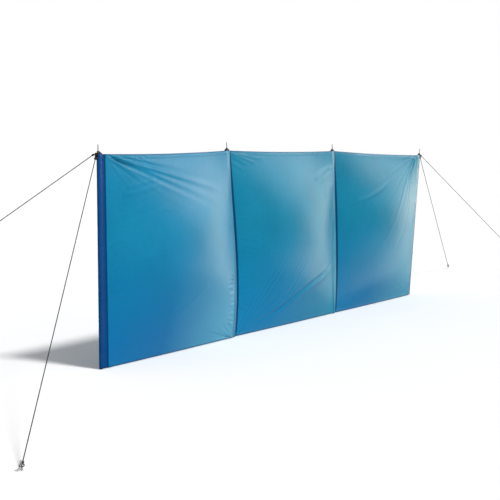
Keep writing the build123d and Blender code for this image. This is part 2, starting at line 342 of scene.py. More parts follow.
def scatter(x, z, seed, count, place, angle, length, width, depth):
    """Small creases laid at random in a patch.

    place is (low x, high x, low z, high z), and the other ranges are (low, high). Each crease is
    depth * cos(pi * off / w) * exp(-(off / w)^2 - (along / length)^2).
    """
    rng = np.random.default_rng(seed)
    total = np.zeros_like(x)
    for _ in range(count):
        cx, cz = rng.uniform(place[0], place[1]), rng.uniform(place[2], place[3])
        a = math.radians(rng.uniform(*angle))
        along = (x - cx) * math.cos(a) + (z - cz) * math.sin(a)
        off = (z - cz) * math.cos(a) - (x - cx) * math.sin(a)
        l, w, d = rng.uniform(*length), rng.uniform(*width), rng.uniform(*depth)
        total += d * np.cos(np.pi * off / w) * np.exp(-((off / w) ** 2) - (along / l) ** 2)
    return total


def slack(x, z, seed, depth):
    """Soft unevenness: eight waves of 0.2 to 0.7 m in random directions, added up."""
    rng = np.random.default_rng(seed)
    total = np.zeros_like(x)
    for _ in range(8):
        a, wave, phase = rng.uniform(0, np.pi), rng.uniform(0.2, 0.7), rng.uniform(0, 6.3)
        total += wave * np.sin((x * math.cos(a) + z * math.sin(a)) * 2 * np.pi / wave + phase)
    return total * depth / 2


def bay_creases(i, width, height):
    """One bay's creases as (maker, its values), in metres from the bay's lower left corner."""
    diagonal = [(1.42, 0.47), (1.22, 0.39), (0.90, 0.31), (0.66, 0.21), (0.45, 0.12), (0.16, 0.04)]
    gathers_1 = (width - 0.05, width, 0.03, 0.48)
    gathers_3 = (width - 0.08, width, 0.1, height - 0.2)
    bays = (
        (
            (fan, (0, height), [
                (-7, 0.60, 0.034, 0.0030), (-13, 0.95, 0.046, 0.0090), (-20, 0.75, 0.044, -0.0085),
                (-29, 0.42, 0.034, 0.0035), (-48, 0.22, 0.026, 0.0018)]),
            (scatter, 13, 14, (0.15, 0.45, 1.27, 1.36), (-28, -12), (0.05, 0.12), (0.010, 0.016), (0.0006, 0.0016)),
            (fan, (width, 0), [
                (175, 0.30, 0.018, 0.0100), (166, 0.34, 0.020, -0.0100), (153, 0.20, 0.020, 0.0070),
                (135, 0.16, 0.020, 0.0040)]),
            (fold, [(0.12, 1.12), (0.28, 1.14), (0.50, 1.19)], 0.011, 0.0052, 0.8),
            (fold, [(0.16, 1.17), (0.30, 1.19), (0.46, 1.225)], 0.010, 0.0030, 0.8),
            (fold, [(0.08, 0.92), (0.30, 0.97), (0.55, 1.04)], 0.014, 0.0018, 0.6),
            (fold, [(0.05, 0.68), (0.30, 0.70), (0.55, 0.72)], 0.011, 0.0016, 0.6),
            (fold, [(0.62, 0.28), (0.80, 0.37), (0.95, 0.47)], 0.018, 0.0020, 0.5),
            (scatter, 11, 26, (0, 0.10, 0.15, height - 0.1), (-8, 25), (0.05, 0.16), (0.012, 0.028), (0.0004, 0.0012)),
            (scatter, 12, 40, gathers_1, (150, 185), (0.03, 0.07), (0.010, 0.018), (0.0020, 0.0046)),
        ),
        (
            (fold, [(1.43, 1.285), (1.28, 1.25), (1.06, 1.17)], 0.013, 0.0050, 0.8),
            (fold, [(1.43, 1.23), (1.33, 1.205), (1.18, 1.14)], 0.010, 0.0036, 0.6),
            (fold, [(1.43, 1.13), (1.33, 1.10), (1.22, 1.04)], 0.010, 0.0020, 0.6),
            (fold, [(0.02, 1.395), (0.12, 1.365), (0.30, 1.325)], 0.008, 0.0030, 0.5),
            (fold, [(0.02, 1.375), (0.09, 1.345), (0.22, 1.31)], 0.008, 0.0022, 0.5),
            (fold, [(0.05, 1.40), (0.20, 1.375), (0.42, 1.355)], 0.008, 0.0022, 0.5),
            (fan, (0, 0), [
                (12, 0.55, 0.026, 0.0050), (22, 0.60, 0.030, -0.0040), (35, 0.45, 0.028, 0.0040),
                (55, 0.35, 0.026, 0.0030)]),
            (fold, diagonal, 0.013, -0.0085, 0.2),
            (fold, [(p, q - 0.036) for p, q in diagonal[:4]], 0.015, 0.0080, 0.6),
            (fold, [(p, q + 0.030) for p, q in diagonal], 0.018, 0.0030, 0.2),
            (scatter, 21, 26, (0, 0.09, 0.2, height - 0.05), (-30, 10), (0.04, 0.12), (0.012, 0.026), (0.0004, 0.0012)),
            (scatter, 22, 14, (0.20, 0.75, 0.12, 0.50), (38, 58), (0.10, 0.2), (0.014, 0.022), (0.0010, 0.0022)),
            (scatter, 23, 10, (1.15, 1.40, 0.28, 0.42), (12, 40), (0.05, 0.1), (0.010, 0.016), (0.0010, 0.0020)),
        ),
        (
            (fan, (width, height), [
                (186, 0.50, 0.036, 0.0022), (198, 0.70, 0.040, 0.0030), (211, 0.95, 0.044, -0.0034),
                (224, 1.05, 0.046, 0.0034), (236, 0.85, 0.040, -0.0026), (249, 0.35, 0.034, 0.0010)]),
            (fold, [(1.43, 1.36), (1.33, 1.27), (1.22, 1.17)], 0.008, -0.0050, 0.3),
            (fold, [(0.95, 1.22), (0.60, 1.05), (0.10, 0.93)], 0.012, 0.0028, 0.5),
            (fold, [(1.25, 1.02), (1.05, 0.72), (0.85, 0.52)], 0.012, -0.0022, 0.4),
            (fan, (0, 0), [(10, 0.45, 0.024, 0.0035), (24, 0.40, 0.026, -0.0030), (44, 0.30, 0.024, 0.0025)]),
            (fan, (width, 0), [(171, 0.35, 0.020, 0.0035), (158, 0.40, 0.024, -0.0030), (140, 0.28, 0.024, 0.0025)]),
            (scatter, 31, 22, (0, 0.08, 0.2, height - 0.1), (-20, 20), (0.04, 0.12), (0.012, 0.026), (0.0004, 0.0010)),
            (scatter, 32, 18, gathers_3, (160, 215), (0.04, 0.12), (0.012, 0.026), (0.0004, 0.0012)),
        ),
    )
    return bays[i]


def bay_details(i, x, z, width, height):
    """Creases of one bay, forward of its billow, which die away at its seams and hems."""
    relief = sum(maker(x, z, *values) for maker, *values in bay_creases(i, width, height))
    relief = relief + slack(x, z, 40 + i, 0.0010)
    edge = np.clip(np.minimum(x, width - x) / 0.012, 0, 1) * np.clip(np.minimum(z, height - z) / 0.03, 0.15, 1)
    return relief * edge


def bay_at(i, u, v, cloth, offset=0.0):
    """Bay i's cloth at the fractions u along it and v up it, and offset metres to its front.

    Point = left seam + (right seam - left seam) * u + forward * (billow + creases + lead * u + offset),
    less the sag of the top edge. Billow = 4u(1 - u) * (6 mm + its depth * sin(pi v)^1.1), lead is that
    of the pocket on the right, and sag = its depth * 4u(1 - u) * v^6.
    """
    left, right = seam_at(i, v, 1), seam_at(i + 1, v, -1)
    run = right - left
    forward = unit(np.cross(run, UP))
    width = np.linalg.norm(run, axis=-1)
    height = TOPS[i][2]
    bulge = 4 * u * (1 - u) * (LEAST_BILLOW + cloth.billow * np.sin(np.pi * np.clip(v, 0, 1)) ** 1.1)
    relief = cloth.creasing * bay_details(i, u * width, v * height, float(np.mean(width)), height)
    lead = front_lead(i + 1, v) * u
    point = left + run * u[..., None] + forward * (bulge + relief + lead + offset)[..., None]
    sag = cloth.top_sag * 4 * u * (1 - u) * np.clip(v, 0, 1) ** 6
    return point - UP * sag[..., None]


def arc_uv(points, height_fraction, height):
    """UVs in metres: the mean length along the rows, and the height."""
    step = np.linalg.norm(np.diff(points, axis=1), axis=-1).mean(axis=0)
    along = np.concatenate([[0], np.cumsum(step)])
    return np.stack(np.broadcast_arrays(along[None], height_fraction * height), -1)


def thicken(piece, thickness):
    """Gives a single layer of cloth its thickness, half to each side."""
    shell = piece.modifiers.new("thickness", "SOLIDIFY")
    shell.thickness = thickness
    shell.offset = 0.0
    shell.use_rim = True


def pocket_outline(i, v, across):
    """Front and back of a pole pocket, seen from above, as distances from its pole's centre.

    across runs 0 to 1 once round it, anticlockwise from its right edge. Both layers lie on the
    line between the seams, and bulge round the pole by reach * exp(-((x - pole) / 14 mm)^2) in a
    middle pocket, or as a half turn and a cosine slope in an end pocket. A middle pocket's front
    layer starts forward of its left seam and runs straight back to its right one.
    """
    turn = 2 * np.pi * across
    back = np.sin(turn) >= 0
    sign = np.where(back, 1.0, -1.0)
    if i in (0, 3):
        inward = 1.0 if i == 0 else -1.0
        x = 0.0259 + 0.0361 * np.cos(turn) * inward
        half = 0.0096
        slope = np.where(x > 0, half * (1 + np.cos(np.pi * np.clip(x / 0.045, 0, 1))) / 2, 0)
        rim = half * np.sqrt(np.clip(1 - (np.minimum(x, 0) / 0.0102) ** 2, 0, 1))
        tip = np.sqrt(np.clip(1 - (np.clip(x, 0, None) / 0.062) ** 8, 0, 1))
        thick = np.where(x > 0, slope + 0.0011 * np.clip(x / 0.045, 0, 1) * tip, rim)
        share = np.clip(x / 0.062, 0, 1)
        line = (0.008 * v - 0.014) * share**1.3 - front_lead(i, v) * np.where(back, share**6, share)
        return x * inward, line + sign * thick
    along, shift = pocket_shift(i, v)
    x = MIDDLE_SEAM * np.cos(turn) + along
    tip = np.sqrt(np.clip(1 - np.abs(np.cos(turn)) ** 8, 0, 1))
    bump = np.exp(-((x / 0.014) ** 2))
    leftward = (1 - np.cos(turn)) / 2
    line = shift - front_lead(i, v) * np.where(back, leftward**6, leftward)
    front = np.minimum(0, -0.0094 - line) * bump
    rear = np.maximum(0, 0.0094 - line) * bump
    return x, line + np.where(back, rear + 0.0011, front - 0.0011) * tip


# ---------------------------------------------------------------- finishes


def socket_feed(tree, socket, value):
    """Links a socket to an output, or sets its own value."""
    if isinstance(value, bpy.types.NodeSocket):
        tree.links.new(value, socket)
    else:
        socket.default_value = value


def add(tree, kind, inputs=(), **settings):
    """A shader node of this kind, with its settings and inputs."""
    node = tree.nodes.new("ShaderNode" + kind)
    for name, value in settings.items():
        setattr(node, name, value)
    for name, value in dict(inputs).items():
        socket_feed(tree, node.inputs[name], value)
    return node


def calc(tree, operation, *values, clamp=False):
    """A Math node's output."""
    node = add(tree, "Math", operation=operation, use_clamp=clamp)
    for k, value in enumerate(values):
        socket_feed(tree, node.inputs[k], value)
    return node.outputs[0]


def times(tree, first, second):
    """The product of two values."""
    return calc(tree, "MULTIPLY", first, second)


def blend(tree, amount, low, high):
    """A colour mixed from low to high."""
    node = add(tree, "Mix", data_type="RGBA")
    socket_feed(tree, node.inputs["Factor"], amount)
    socket_feed(tree, node.inputs[6], low)
    socket_feed(tree, node.inputs[7], high)
    return node.outputs[2]


def spread(tree, value, low, high, out_low=0.0, out_high=1.0):
    """A value mapped from one range to another, and held inside it."""
    inputs = {"Value": value, "From Min": low, "From Max": high, "To Min": out_low, "To Max": out_high}
    return add(tree, "MapRange", inputs, clamp=True).outputs[0]


def noise(tree, vector, scale, detail=2.0, distortion=0.0):
    """A noise pattern's value."""
    inputs = {"Vector": vector, "Scale": scale, "Detail": detail, "Distortion": distortion}
    return add(tree, "TexNoise", inputs).outputs[0]


def raised_normal(tree, height, strength, distance, normal=None):
    """The normal of a surface raised by a height, on top of another normal where one is given."""
    inputs = {"Height": height, "Strength": strength, "Distance": distance}
    if normal is not None:
        inputs["Normal"] = normal
    return add(tree, "Bump", inputs).outputs[0]


def shaded(colour, factor=1.0, lift=0.0):
    """A colour made lighter or darker, with its alpha."""
    return tuple(min(c * factor + lift, 1) for c in colour) + (1,)


def effect(name, inputs, outputs):
    """An empty shader node group with named sockets, and its two end nodes."""
    group = bpy.data.node_groups.new(name, "ShaderNodeTree")
    for way, labels in (("INPUT", inputs), ("OUTPUT", outputs)):
        for label in labels:
            kind = "NodeSocketVector" if label in ("UV", "Vector") else "NodeSocketFloat"
            group.interface.new_socket(label, in_out=way, socket_type=kind)
    return group, group.nodes.new("NodeGroupInput").outputs, group.nodes.new("NodeGroupOutput").inputs


def plain_weave():
    """Plain weave on a UV in metres: height = sin(across) * sin(along) of the thread count, with slubs.

    Shade is a little lighter and darker from thread to thread.
    """
    if "plain weave" in bpy.data.node_groups:
        return bpy.data.node_groups["plain weave"]
    tree, given, result = effect("plain weave", ("UV", "Threads per metre"), ("Height", "Shade"))
    split = add(tree, "SeparateXYZ", {"Vector": given["UV"]}).outputs
    rate = times(tree, given["Threads per metre"], math.pi)
    warp, weft = (calc(tree, "SINE", times(tree, split[axis], rate)) for axis in "XY")
    cross = times(tree, warp, weft)
    tree.links.new(calc(tree, "MULTIPLY_ADD", cross, 0.5, 0.5), result["Height"])
    slubs = [
        noise(tree, add(tree, "Mapping", {"Vector": given["UV"], "Scale": scale}).outputs[0], 1.0)
        for scale in ((900, 12, 1), (12, 900, 1))
    ]
    tree.links.new(times(tree, calc(tree, "ADD", *slubs), 0.5), result["Shade"])
    return tree


def stitch_row():
    """A row of lockstitch: thread shows where the place along the row is inside a stitch.

    Thread = 1 inside a stitch's length and width. Pucker = a soft dip either side of the row.
    """
    if "stitch row" in bpy.data.node_groups:
        return bpy.data.node_groups["stitch row"]
    tree, given, result = effect("stitch row", ("Off", "Along", "Pitch", "Width"), ("Thread", "Pucker"))
    off = calc(tree, "ABSOLUTE", given["Off"])
    phase = calc(tree, "FRACT", calc(tree, "DIVIDE", given["Along"], given["Pitch"]))
    ends = calc(tree, "ABSOLUTE", calc(tree, "SUBTRACT", phase, 0.5))
    inside = spread(tree, ends, 0.36, 0.44, 1.0, 0.0)
    near = calc(tree, "SUBTRACT", 1.0, calc(tree, "DIVIDE", off, given["Width"]), clamp=True)
    tree.links.new(times(tree, inside, calc(tree, "POWER", near, 0.5)), result["Thread"])
    dip = calc(tree, "DIVIDE", off, times(tree, given["Width"], 6.0))
    dip = calc(tree, "SUBTRACT", 1.0, dip, clamp=True)
    tree.links.new(times(tree, dip, calc(tree, "MULTIPLY_ADD", inside, 0.5, 0.5)), result["Pucker"])
    return tree


def wear():
    """Uneven tone at three sizes, from Object coordinates: broad clouding, crumple and fine speckle."""
    if "wear" in bpy.data.node_groups:
        return bpy.data.node_groups["wear"]
    tree, given, result = effect("wear", ("Vector", "Size"), ("Cloud", "Speckle", "Crumple"))
    scale = calc(tree, "DIVIDE", 1.0, given["Size"])
    cloud = noise(tree, given["Vector"], scale, 3.0)
    speckle = noise(tree, given["Vector"], times(tree, scale, 24.0))
    crumple = noise(tree, given["Vector"], times(tree, scale, 6.0), distortion=0.6)
    tree.links.new(spread(tree, cloud, 0.3, 0.7), result["Cloud"])
    tree.links.new(spread(tree, speckle, 0.35, 0.75), result["Speckle"])
    tree.links.new(crumple, result["Crumple"])
    return tree


def empty_material(name):
    """A new material with nothing in it but its output."""
    material = bpy.data.materials.new(name)
    material.use_nodes = True
    material.node_tree.nodes.clear()
    return material, material.node_tree, material.node_tree.nodes.new("ShaderNodeOutputMaterial")


def grouped(tree, group, inputs):
    """A node group placed in a material."""
    node = tree.nodes.new("ShaderNodeGroup")
    node.node_tree = group
    for name, value in inputs.items():
        socket_feed(tree, node.inputs[name], value)
    return node.outputs


def cloth_finish(name, colour, through, light, rows=(), upright_rows=(), bands=(), seam=0.0, shine=0.05, depth=1.0,
                 lower=None):
    """Coated polyester: weave, stitched rows, soft clouding, and light that comes through it.

    rows and upright_rows are the places of stitched rows in metres along the UV's second and
    first direction. bands are (axis, low, high) where the cloth is darker by depth: doubled cloth, and on
    the pockets' outer edges painted shade where they wrap their poles. The felled seam at the cloth's left edge has the
    given width, narrows toward the top, and is darkened as painted shade of the valley beside it. lower is
    how the lower half is painted: a deeper blue on its left as painted shade (its green and blue), and a pale right as
    painted sheen (how strong).
    """
    material, tree, output = empty_material(name)
    uv = add(tree, "UVMap", uv_map="cloth_metres").outputs[0]
    place = add(tree, "TexCoord").outputs["Object"]
    split = add(tree, "SeparateXYZ", {"Vector": uv}).outputs
    weave = grouped(tree, plain_weave(), {"UV": uv, "Threads per metre": 2600.0})
    tone = grouped(tree, wear(), {"Vector": place, "Size": 0.35})
    thread, pucker = None, None
    wanted = [(split["Y"], split["X"], row) for row in rows] + [(split["X"], split["Y"], row) for row in upright_rows]
    for across, along, row in wanted:
        stitch = grouped(tree, stitch_row(), {
            "Off": calc(tree, "SUBTRACT", across, row), "Along": along, "Pitch": 0.0034, "Width": 0.0008})
        thread = stitch["Thread"] if thread is None else calc(tree, "MAXIMUM", thread, stitch["Thread"])
        pucker = stitch["Pucker"] if pucker is None else calc(tree, "MAXIMUM", pucker, stitch["Pucker"])
    shade = calc(tree, "MULTIPLY_ADD", weave["Shade"], 0.45, times(tree, tone["Cloud"], 0.55))
    tint = blend(tree, shade, shaded(colour, 0.86), shaded(colour, 1.12, 0.004))
    tint = blend(tree, times(tree, tone["Speckle"], 0.015), tint, DUST)
    glow = blend(tree, shade, shaded(through, 0.88), shaded(through))
    # Painted shade and painted sheen: the lower half turns a deeper blue toward its left and a pale sheen toward its
    # right, fixed on the UV.
    if lower:
        painted_shade_green, painted_shade_blue, painted_sheen_share = lower
        painted_lower_weight = spread(tree, split["Y"], 0.15, 0.85, 0.88, 0.0)
        left = times(tree, painted_lower_weight, spread(tree, split["X"], 0.55, 1.35, 1.0, 0.0))
        right = times(tree, painted_lower_weight, spread(tree, split["X"], 0.55, 1.35, 0.0, painted_sheen_share))
        tint = blend(tree, left, tint, (colour[0], colour[1] * painted_shade_green, colour[2] * painted_shade_blue, 1))
        glow = blend(tree, left, glow, (through[0], through[1] * painted_shade_green, through[2] * painted_shade_blue, 1))
        tint = blend(tree, right, tint, PAINTED_PALE_SHEEN)
    # Darker masks: doubled cloth and, where given, painted shade; both are mixed toward the dark doubled colour.
    doubled_and_shaded, soft = [], 0.0008
    for axis, low, high in bands:
        rising = spread(tree, split[axis], low - soft, low + soft)
        falling = spread(tree, split[axis], high - soft, high + soft, 1.0, 0.0)
        doubled_and_shaded.append(times(tree, rising, falling))
    # Painted shade: the felled seam's strip is darkened, narrower toward the top, for the shaded valley beside it.
    if seam:
        width = times(tree, spread(tree, split["Y"], 1.16, 1.405, 1.0, 0.5), seam)
        doubled_and_shaded.append(spread(tree, calc(tree, "SUBTRACT", split["X"], width), -0.001, 0.001, 1.0, 0.0))
    for mask in doubled_and_shaded:
        mask = times(tree, mask, depth)
        tint = blend(tree, mask, tint, DOUBLED_AND_SHADED)
        glow = blend(tree, mask, glow, DOUBLED_GLOW)
    # Painted shade in the puckered dips beside each stitched row, then the thread's own colour.
    if pucker is not None:
        tint = blend(tree, times(tree, pucker, 0.12), tint, DOUBLED_AND_SHADED)
        tint = blend(tree, times(tree, thread, 0.7), tint, THREAD_BLUE)
    normal = raised_normal(tree, weave["Height"], 0.35, 0.00012)
    normal = raised_normal(tree, tone["Crumple"], 0.30, 0.0025, normal)
    if pucker is not None:
        sewn = calc(tree, "SUBTRACT", thread, times(tree, pucker, 0.8))
        normal = raised_normal(tree, sewn, 0.6, 0.0006, normal)
    gloss = spread(tree, tone["Cloud"], 0.0, 1.0, 0.32, 0.38)
    skin = add(tree, "BsdfPrincipled", {"Base Color": tint, "Roughness": gloss, "Normal": normal,
                                                  "Specular IOR Level": shine,
                                                  "Sheen Weight": shine * 4.0, "Sheen Roughness": 0.4})
    veil = add(tree, "BsdfTranslucent", {"Color": glow, "Normal": normal})
    mix = add(tree, "MixShader", {0: light, 1: skin.outputs[0], 2: veil.outputs[0]})
    tree.links.new(mix.outputs[0], output.inputs["Surface"])
    return material


def webbing_finish(name, colour):
    """Woven tape: a coarse weave, a little paler from thread to thread, with specks of fluff."""
    material, tree, output = empty_material(name)
    uv = add(tree, "UVMap", uv_map="cloth_metres").outputs[0]
    place = add(tree, "TexCoord").outputs["Object"]
    weave = grouped(tree, plain_weave(), {"UV": uv, "Threads per metre": 900.0})
    tone = grouped(tree, wear(), {"Vector": place, "Size": 0.03})
    tint = blend(tree, weave["Shade"], shaded(colour), shaded(colour, 1.8, 0.001))
    tint = blend(tree, times(tree, tone["Speckle"], 0.02), tint, FLUFF)
    normal = raised_normal(tree, weave["Height"], 0.7, 0.0003)
    rough = spread(tree, tone["Cloud"], 0, 1, 0.72, 0.86)
    skin = add(tree, "BsdfPrincipled", {"Base Color": tint, "Roughness": rough, "Normal": normal,
                                                  "Specular IOR Level": 0.15})
    tree.links.new(skin.outputs[0], output.inputs["Surface"])
    return material


def cord_finish(name, colour):
    """Braided cord: strands that cross on the UV, with painted highlight on their tops and painted shade between them.
    """
    material, tree, output = empty_material(name)
    uv = add(tree, "UVMap", uv_map="cloth_metres").outputs[0]
    place = add(tree, "TexCoord").outputs["Object"]
    slant = add(tree, "Mapping", {"Vector": uv, "Rotation": (0, 0, math.radians(38))})
    weave = grouped(tree, plain_weave(), {"UV": slant.outputs[0], "Threads per metre": 1300.0})
    tone = grouped(tree, wear(), {"Vector": place, "Size": 0.08})
    # Painted light: lighter where the strands stand high, darker between them.
    shade = calc(tree, "MULTIPLY_ADD", weave["Height"], 0.7, times(tree, tone["Cloud"], 0.3))
    tint = blend(tree, shade, shaded(colour, 0.55), shaded(colour, 1.3))
    normal = raised_normal(tree, weave["Height"], 0.8, 0.0005)
    rough = spread(tree, tone["Speckle"], 0, 1, 0.7, 0.85)
    skin = add(tree, "BsdfPrincipled", {"Base Color": tint, "Roughness": rough, "Normal": normal,
                                                  "Specular IOR Level": 0.2})
    tree.links.new(skin.outputs[0], output.inputs["Surface"])
    return material


def metal_finish(name, colour, roughness, brush):
    """Plated steel: drawn lines along Z, dull clouding and rubbed specks."""
    material, tree, output = empty_material(name)
    place = add(tree, "TexCoord").outputs["Object"]
    drawn = add(tree, "Mapping", {"Vector": place, "Scale": (1400, 1400, 18)})
    lines = noise(tree, drawn.outputs[0], 1.0)
    tone = grouped(tree, wear(), {"Vector": place, "Size": 0.05})
    tint = blend(tree, tone["Cloud"], shaded(colour, 0.82), shaded(colour))
    tint = blend(tree, times(tree, tone["Speckle"], 0.25), tint, shaded(colour, 0.5))
    dull = spread(tree, tone["Cloud"], 0, 1, roughness - 0.1, roughness)
    rough = calc(tree, "MULTIPLY_ADD", lines, 0.2, dull)
    skin = add(tree, "BsdfPrincipled", {"Base Color": tint, "Roughness": rough, "Metallic": 1.0,
                                                  "Normal": raised_normal(tree, lines, brush, 0.0001)})
    tree.links.new(skin.outputs[0], output.inputs["Surface"])
    return material


def finish_named(name, maker, *values, **options):
    """A finish that pieces share: made once, then found by its name."""
    found = bpy.data.materials.get(name)
    return found if found else maker(name, *values, **options)


# ---------------------------------------------------------------- settings


class ClothSettings(bpy.types.PropertyGroup):
    billow: FloatProperty(
        name="Billow", description="How far the wind pushes the middle of each bay to the front",
        default=0.14, min=0.0, max=0.25, unit="LENGTH")
    creasing: FloatProperty(
        name="Creasing", description="Strength of the folds and creases, where 1 is as modelled",
        default=1.0, min=0.0, max=2.0, subtype="FACTOR")
    top_sag: FloatProperty(
        name="Top sag", description="How far the top edge drops halfway between two poles",
        default=0.009, min=0.0, max=0.02, unit="LENGTH")
    thickness: FloatProperty(
        name="Cloth thickness", description="Thickness of one layer of cloth",
        default=0.0006, min=0.0002, max=0.003, unit="LENGTH")
    colour: FloatVectorProperty(
        name="Cloth colour", description="Colour of the bays in plain light",
        default=(0.0, 0.242, 0.425), size=3, min=0, max=1, subtype="COLOR")
    glow: FloatVectorProperty(
        name="Light through cloth", description="Colour of light that comes through the bays",
        default=(0.002, 0.30, 0.60), size=3, min=0, max=1, subtype="COLOR")
    # Pocket 1's colour: doubled cloth, darkened further as painted shade of its side turned from the light.
    pocket_colour_and_shade: FloatVectorProperty(
        name="Pocket colour", description="Colour of the doubled cloth round the poles",
        default=(0.0, 0.060, 0.235), size=3, min=0, max=1, subtype="COLOR")
    columns: IntProperty(
        name="Columns", description="Mesh columns along one bay", default=176, min=40, max=240, subtype="UNSIGNED")


class FittingSettings(bpy.types.PropertyGroup):
    strap_width: FloatProperty(
        name="Strap width", description="Width of the webbing over the poles",
        default=0.046, min=0.01, max=0.06, unit="LENGTH")
    cord_radius: FloatProperty(
        name="Cord radius", description="Radius of the guy lines", default=0.0026, min=0.001, max=0.004, unit="LENGTH")
    webbing_colour: FloatVectorProperty(
        name="Webbing colour", description="Colour of straps and corner loops",
        default=(0.002, 0.002, 0.003), size=3, min=0, max=1, subtype="COLOR")
    cord_colour: FloatVectorProperty(
        name="Cord colour", description="Colour of the guy lines",
        default=(0.016, 0.016, 0.018), size=3, min=0, max=1, subtype="COLOR")
    steel_colour: FloatVectorProperty(
        name="Steel colour", description="Colour of poles, pins and pegs",
        default=(0.50, 0.51, 0.52), size=3, min=0, max=1, subtype="COLOR")


class StageSettings(bpy.types.PropertyGroup):
    sun: FloatProperty(name="Sun", description="Strength of the main light", default=2.62, min=0.0, max=10.0)
    side_light: FloatProperty(
        name="Side panel", description="Brightness of the soft panel beyond the right end",
        default=9.5, min=0.0, max=30.0)
    upper_light: FloatProperty(
        name="Upper panel", description="Brightness of the soft panel above the right end",
        default=16.0, min=0.0, max=30.0)
    low_light: FloatProperty(
        name="Low panel", description="Brightness of the soft panel that lies in front of the right end",
        default=6.2, min=0.0, max=30.0)
    sun_angle: FloatProperty(
        name="Sun softness", description="Width of the main light, as seen from the wall",
        default=math.radians(10), min=0.0, max=math.radians(90), subtype="ANGLE")
    sky: FloatProperty(
        name="Sky", description="Strength of the even light from all round", default=0.41, min=0.0, max=2.0)
    floor: FloatProperty(
        name="Floor", description="How pale the floor is", default=0.91, min=0.0, max=1.0, subtype="FACTOR")


# ---------------------------------------------------------------- pieces


class WINDBREAK_OT_stage(bpy.types.Operator):
    """Camera, lights, white background and pale floor"""

    bl_idname = "windbreak.stage"
    bl_label = "Stage"

    def execute(self, context):
        scene, stage = context.scene, context.scene.windbreak_stage
        scene.view_settings.view_transform = "Standard"
        camera = bpy.data.objects.new("camera", bpy.data.cameras.new("camera"))
        camera.data.lens, camera.data.sensor_width = 78.25, 36.0
        camera.location = (-5.193, -4.706, 1.4005)
        camera.rotation_euler = (math.radians(84.858), 0.0, math.radians(-55.745))
        scene.collection.objects.link(camera)
        scene.camera = camera

        sun = bpy.data.objects.new("sun", bpy.data.lights.new("sun", "SUN"))
        sun.data.energy, sun.data.angle = stage.sun, stage.sun_angle
        sun.rotation_euler = self.facing(np.array([0.02, -0.52, 0.83]))
        scene.collection.objects.link(sun)
        middle = np.array([2.4, 0.0, 0.9])
        for label, place, wide, high, brightness, colour in (
            ("side panel", (17.0, -2.8, 2.6), 7.4, 6.0, stage.side_light, (1.0, 0.97, 0.76)),
            ("upper panel", (10.0, -4.2, 4.9), 5.4, 3.4, stage.upper_light, (1.0, 1.0, 0.95)),
            ("low panel", (8.8, -1.75, 0.02), 10.6, 2.9, stage.low_light, (1.0, 0.97, 0.76)),
        ):
            lamp = bpy.data.lights.new(label, "AREA")
            lamp.color = colour
            lamp.shape, lamp.size, lamp.size_y = "RECTANGLE", wide, high
            lamp.energy = brightness * math.pi * wide * high
            softbox = bpy.data.objects.new(label, lamp)
            softbox.location = place
            softbox.visible_diffuse = False
            softbox.visible_camera = False
            if label == "low panel":
                softbox.rotation_euler = (math.pi, 0.0, 0.0)
            else:
                softbox.rotation_euler = self.facing(np.array(place) - middle)
            scene.collection.objects.link(softbox)

        world = bpy.data.worlds.new("sky")
        world.use_nodes = True
        tree = world.node_tree
        tree.nodes.clear()
        seen = add(tree, "LightPath").outputs
        direct = calc(tree, "MAXIMUM", seen["Is Camera Ray"], seen["Is Transmission Ray"])
        direct = calc(tree, "MAXIMUM", direct, seen["Is Glossy Ray"])
        strength = spread(tree, direct, 0.0, 1.0, stage.sky, 1.0)
        white = add(tree, "Background", {"Color": (1, 1, 1, 1), "Strength": strength})
        out = tree.nodes.new("ShaderNodeOutputWorld")
        tree.links.new(white.outputs[0], out.inputs["Surface"])
        scene.world = world

        material, tree, output = empty_material("pale floor")
        speck = noise(tree, add(tree, "TexCoord").outputs["Object"], 3.0)
        grey = (stage.floor,) * 3
        tint = blend(tree, speck, shaded(grey), shaded(grey, 1.01))
        matt = add(tree, "BsdfPrincipled", {"Base Color": tint, "Roughness": 0.9, "Specular IOR Level": 0.0})
        tree.links.new(matt.outputs[0], output.inputs["Surface"])
        side = np.linspace(-60, 60, 9)
        x, y = np.meshgrid(side, side)
        ground = Shell().grid(np.stack([x, y, 0 * x], -1), np.stack([x, y], -1)).piece("floor", material)
        del ground["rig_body"]
        return {"FINISHED"}

    def facing(self, source):
        """Turns a lamp to shine from this direction toward the wall."""
        source = unit(source)
        return (math.acos(source[2]), 0.0, math.atan2(source[1], source[0]) + math.pi / 2)


def toned(settings, i):
    """A bay's own colour and its glow, as each is cut from its own roll of cloth."""
    return tuple(tuple(c * k for c, k in zip(base, BAY_TONES[i])) for base in (settings.colour, settings.glow))


def bay_finish(settings, i):
    """The bays' own finishes, with painted shade and painted sheen on their lower halves. All but the first have a
    felled seam down their left edge, darkened as painted shade.
    """
    return finish_named(f"bay cloth {i + 1}", cloth_finish, *toned(settings, i), 0.20, seam=BAY_SEAM_SHADES[i],
                        shine=BAY_SHINES[i], lower=BAY_LOWER_PAINTED_SHADING[i])


def hem_finish(settings, i, label):
    """The doubled hems' finishes: a bound edge, one stitched row, and the end of the felled seam with its painted
    shade. The bottom hems also carry the bays' painted lower shade and sheen.
    """
    seam_shades, lower = (BAY_SEAM_SHADES, BAY_LOWER_PAINTED_SHADING[i]) if label == "bottom" else (TOP_SEAM_SHADES, None)
    return finish_named(f"{label} hem cloth {i + 1}", cloth_finish, *toned(settings, i), 0.20, rows=(0.0095,),
                        bands=(("Y", -0.002, 0.006),), seam=seam_shades[i], depth=0.6, lower=lower)


